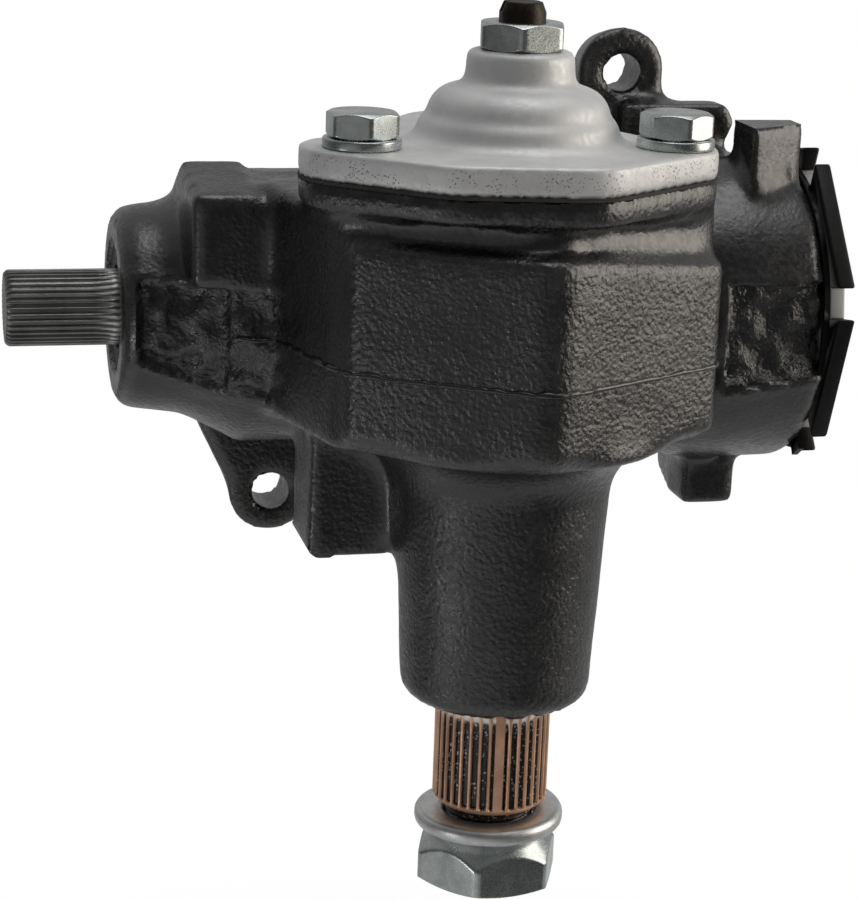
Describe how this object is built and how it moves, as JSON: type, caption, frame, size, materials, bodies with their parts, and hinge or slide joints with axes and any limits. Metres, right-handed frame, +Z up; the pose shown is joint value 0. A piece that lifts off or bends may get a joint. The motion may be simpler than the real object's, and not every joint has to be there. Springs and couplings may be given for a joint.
{
  "type": "steering gearbox",
  "caption": "Manual steering gearbox: splined worm shaft, recirculating-ball nut and toothed sector shaft in a cast housing with side cover, mounting ears and serrated pitman end.",
  "frame": {"origin": "on the sector shaft axis, at the lower end of the housing's sector tube, where the pitman serrations come out", "axes": "+X along the worm axis, away from the input end; +Y from the sector shaft to the worm and on to the frame rail; +Z up the sector shaft to the side cover"},
  "size_m": [0.208, 0.1375, 0.2181],
  "materials": {
    "painted_casting": "semi-gloss black paint over sand-cast iron",
    "cast_aluminium": "matt silver, as cast",
    "gasket_fibre": "dark fibre sheet",
    "zinc_plate": "clear zinc plate",
    "bushing_bronze": "bored bronze",
    "dark_steel": "dark heat-treated steel",
    "ground_steel": "ground steel",
    "coppered_steel": "copper-flashed steel with black grooves",
    "washer_steel": "dull grey spring steel",
    "ball_steel": "polished bearing steel",
    "cage_brass": "pressed brass",
    "seal_rubber": "black rubber",
    "black_steel": "satin black"
  },
  "bodies": {
    "housing": {"housing": "painted_casting", "side_cover": "cast_aluminium", "cover_gasket": "gasket_fibre", "cover_bolts": "zinc_plate", "cover_lock_washers": "zinc_plate", "cover_bushing": "bushing_bronze", "lash_locknut": "zinc_plate", "sector_bushing_upper": "bushing_bronze", "sector_bushing_lower": "bushing_bronze", "sector_seal": "seal_rubber", "input_seal": "seal_rubber", "upper_bearing_cup": "ground_steel", "lower_bearing_cup": "ground_steel", "bearing_adjuster": "ground_steel", "adjuster_lock_ring": "black_steel", "lock_tab_washer": "black_steel"},
    "worm": {"worm_shaft": "dark_steel"},
    "nut": {"ball_nut": "ground_steel", "track_balls": "ball_steel", "ball_guides": "washer_steel", "guide_clamp": "washer_steel", "clamp_screws": "washer_steel"},
    "sector": {"sector_shaft": "coppered_steel", "pitman_lock_washer": "washer_steel", "pitman_nut": "zinc_plate"},
    "upper_bearing_set": {"upper_bearing_cage": "cage_brass", "upper_bearing_balls": "ball_steel"},
    "lower_bearing_set": {"lower_bearing_cage": "cage_brass", "lower_bearing_balls": "ball_steel"},
    "lash_adjuster": {"lash_adjuster_screw": "dark_steel", "lash_shim": "ground_steel"}
  },
  "joints": [
    {"name": "worm_turn", "type": "hinge", "parent": "housing", "child": "worm", "pos_m": [0, 0.049, 0.0875], "axis": [1, 0, 0], "range_deg": [-700, 700]},
    {"name": "nut_slide", "type": "slide", "parent": "housing", "child": "nut", "axis": [1, 0, 0], "range_m": [-0.0157, 0.0157]},
    {"name": "sector_turn", "type": "hinge", "parent": "housing", "child": "sector", "pos_m": [0, 0, 0], "axis": [0, 0, 1], "range_deg": [-35.1, 35.1]},
    {"name": "upper_bearing_roll", "type": "hinge", "parent": "housing", "child": "upper_bearing_set", "pos_m": [-0.059, 0.049, 0.0875], "axis": [1, 0, 0], "range_deg": [-281, 281]},
    {"name": "lower_bearing_roll", "type": "hinge", "parent": "housing", "child": "lower_bearing_set", "pos_m": [0.059, 0.049, 0.0875], "axis": [1, 0, 0], "range_deg": [-281, 281]},
    {"name": "lash_adjust", "type": "hinge", "parent": "housing", "child": "lash_adjuster", "pos_m": [0, 0, 0.15], "axis": [0, 0, 1], "range_deg": [-90, 90]}
  ],
  "couplings": [
    {"joint": "nut_slide", "follows": "worm_turn", "m_per_rad": -0.0012732},
    {"joint": "sector_turn", "follows": "worm_turn", "ratio": 0.05},
    {"joint": "upper_bearing_roll", "follows": "worm_turn", "ratio": 0.4},
    {"joint": "lower_bearing_roll", "follows": "worm_turn", "ratio": 0.4}
  ]
}
